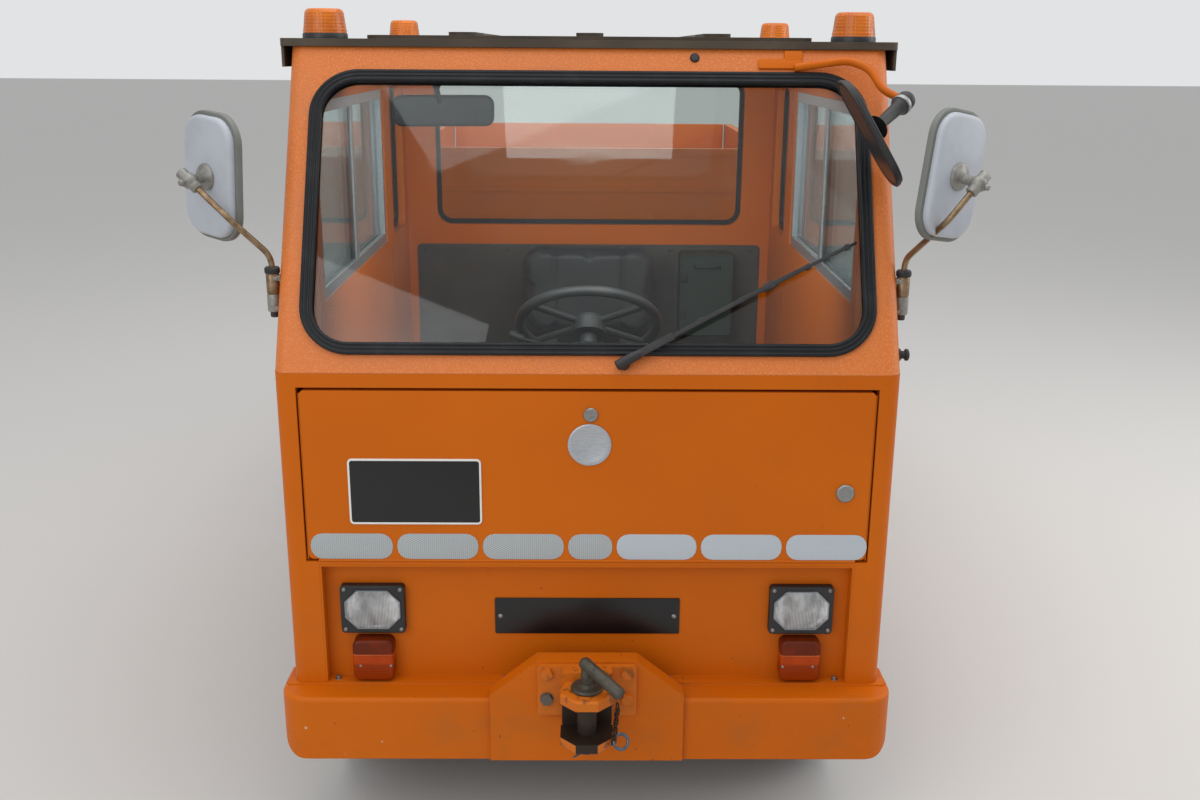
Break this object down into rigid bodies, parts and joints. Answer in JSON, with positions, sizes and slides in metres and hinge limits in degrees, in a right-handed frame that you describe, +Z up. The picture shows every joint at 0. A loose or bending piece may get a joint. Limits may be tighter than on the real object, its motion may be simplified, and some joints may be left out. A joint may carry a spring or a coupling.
{
  "type": "airport baggage tug",
  "caption": "Cab-forward airport baggage tug with a small drop-side bed, tow jaws front and rear, hinged doors, a front lid and steered front wheels.",
  "frame": {"origin": "centre of the whole vehicle's outline, on the floor under the tyres", "axes": "+X the driver's left, +Y rearwards along the vehicle, +Z up"},
  "size_m": [1.6125, 3.4806, 1.747],
  "materials": {
    "orange_paint": "satin paint",
    "textured_paint": "textured paint",
    "roof_paint": "matt paint",
    "dark_paint": "matt paint",
    "worn_iron": "worn",
    "jaw_iron": "worn paint",
    "tyre_rubber": "matt",
    "seal_rubber": "satin",
    "window_glass": "clear",
    "alu": "satin",
    "black_plastic": "matt",
    "grey_plastic": "satin",
    "amber_lens": "clear",
    "red_lens": "clear",
    "lamp_black": "satin",
    "seat_cover": "soft",
    "steel": "dull",
    "box_green": "matt"
  },
  "bodies": {
    "frame": {"chassis": "dark_paint", "frame_brackets": "dark_paint", "leaf_springs": "dark_paint", "front_bumper": "orange_paint", "hitch_plate": "orange_paint", "tow_jaws": "jaw_iron", "rear_beam": "orange_paint", "coupling_pins": "worn_iron", "front_axle": "dark_paint", "rear_axle": "dark_paint", "battery": "dark_paint", "cab_floor": "dark_paint", "cab_front": "orange_paint", "lamp_recess": "orange_paint", "windscreen_frame": "textured_paint", "window_seals": "seal_rubber", "fixed_glass": "window_glass", "roof": "roof_paint", "side_walls": "orange_paint", "rear_wall": "orange_paint", "dashboard": "black_plastic", "steering_column": "black_plastic", "seat_base": "dark_paint", "seat_cushion": "seat_cover", "seat_back": "seat_cover", "first_aid_box": "box_green", "headlights": "lamp_black", "indicators": "amber_lens", "roof_lamps": "amber_lens", "tail_lamps": "red_lens", "mirrors": "grey_plastic", "ramp_mirror": "black_plastic", "wiper": "black_plastic", "steps": "dark_paint", "bed_frame": "orange_paint", "bulkhead": "orange_paint", "mudguards": "dark_paint"},
    "lid": {"front_lid": "orange_paint"},
    "left_door": {"door_left": "orange_paint", "door_window_left": "alu", "door_glass_left": "window_glass"},
    "right_door": {"door_right": "orange_paint", "door_window_right": "alu", "door_glass_right": "window_glass"},
    "left_knuckle": {"knuckle_left": "dark_paint"},
    "right_knuckle": {"knuckle_right": "dark_paint"},
    "steering_rod": {"tie_rod": "steel"},
    "steering_gear_arm": {"drop_arm": "dark_paint"},
    "front_left_wheel": {"rim_front_left": "orange_paint", "tyre_front_left": "tyre_rubber"},
    "front_right_wheel": {"rim_front_right": "orange_paint", "tyre_front_right": "tyre_rubber"},
    "rear_left_wheel": {"rim_rear_left": "orange_paint", "tyre_rear_left": "tyre_rubber"},
    "rear_right_wheel": {"rim_rear_right": "orange_paint", "tyre_rear_right": "tyre_rubber"},
    "hand_wheel": {"steering_wheel": "black_plastic"},
    "left_board": {"side_board_left": "orange_paint"},
    "right_board": {"side_board_right": "orange_paint"},
    "rear_gate": {"tailgate": "orange_paint"}
  },
  "joints": [
    {"name": "steer_left", "type": "hinge", "parent": "frame", "child": "left_knuckle", "pos_m": [0.43, -1.104, 0.27], "axis": [0, 0, 1], "range_deg": [-33, 33]},
    {"name": "steer_right", "type": "hinge", "parent": "frame", "child": "right_knuckle", "pos_m": [-0.43, -1.104, 0.27], "axis": [0, 0, 1], "range_deg": [-33, 33]},
    {"name": "tie_rod_pivot", "type": "hinge", "parent": "left_knuckle", "child": "steering_rod", "pos_m": [0.43, -0.999, 0.2], "axis": [0, 0, 1], "range_deg": [-33, 33]},
    {"name": "drop_arm_pivot", "type": "hinge", "parent": "frame", "child": "steering_gear_arm", "pos_m": [0.06, -1.214, 0.3], "axis": [0, 0, 1], "range_deg": [-33, 33]},
    {"name": "hand_wheel_turn", "type": "hinge", "parent": "frame", "child": "hand_wheel", "pos_m": [0, -0.794, 0.985], "axis": [0, 0.6428, 0.766], "range_deg": [-462, 462]},
    {"name": "spin_front_left", "type": "hinge", "parent": "left_knuckle", "child": "front_left_wheel", "pos_m": [0.522, -1.104, 0.27], "axis": [1, 0, 0], "continuous": true},
    {"name": "spin_front_right", "type": "hinge", "parent": "right_knuckle", "child": "front_right_wheel", "pos_m": [-0.522, -1.104, 0.27], "axis": [1, 0, 0], "continuous": true},
    {"name": "spin_rear_left", "type": "hinge", "parent": "frame", "child": "rear_left_wheel", "pos_m": [0.522, 1.006, 0.27], "axis": [1, 0, 0], "continuous": true},
    {"name": "spin_rear_right", "type": "hinge", "parent": "frame", "child": "rear_right_wheel", "pos_m": [-0.522, 1.006, 0.27], "axis": [1, 0, 0], "continuous": true},
    {"name": "left_door_hinge", "type": "hinge", "parent": "frame", "child": "left_door", "pos_m": [0.637, -1.237, 1.025], "axis": [0, 0, -1], "range_deg": [0, 80]},
    {"name": "right_door_hinge", "type": "hinge", "parent": "frame", "child": "right_door", "pos_m": [-0.637, -1.237, 1.025], "axis": [0, 0, 1], "range_deg": [0, 80]},
    {"name": "lid_hinge", "type": "hinge", "parent": "frame", "child": "lid", "pos_m": [0, -1.534, 0.649], "axis": [1, 0, 0], "range_deg": [0, 100]},
    {"name": "left_board_hinge", "type": "hinge", "parent": "frame", "child": "left_board", "pos_m": [0.632, 0.886, 0.743], "axis": [0, 1, 0], "range_deg": [0, 175]},
    {"name": "right_board_hinge", "type": "hinge", "parent": "frame", "child": "right_board", "pos_m": [-0.632, 0.886, 0.743], "axis": [0, -1, 0], "range_deg": [0, 175]},
    {"name": "rear_gate_hinge", "type": "hinge", "parent": "frame", "child": "rear_gate", "pos_m": [0, 1.598, 0.743], "axis": [-1, 0, 0], "range_deg": [0, 90]}
  ],
  "couplings": [
    {"joint": "steer_right", "follows": "steer_left", "ratio": 1},
    {"joint": "tie_rod_pivot", "follows": "steer_left", "ratio": -1},
    {"joint": "drop_arm_pivot", "follows": "steer_left", "ratio": 1},
    {"joint": "hand_wheel_turn", "follows": "steer_left", "ratio": 14}
  ]
}
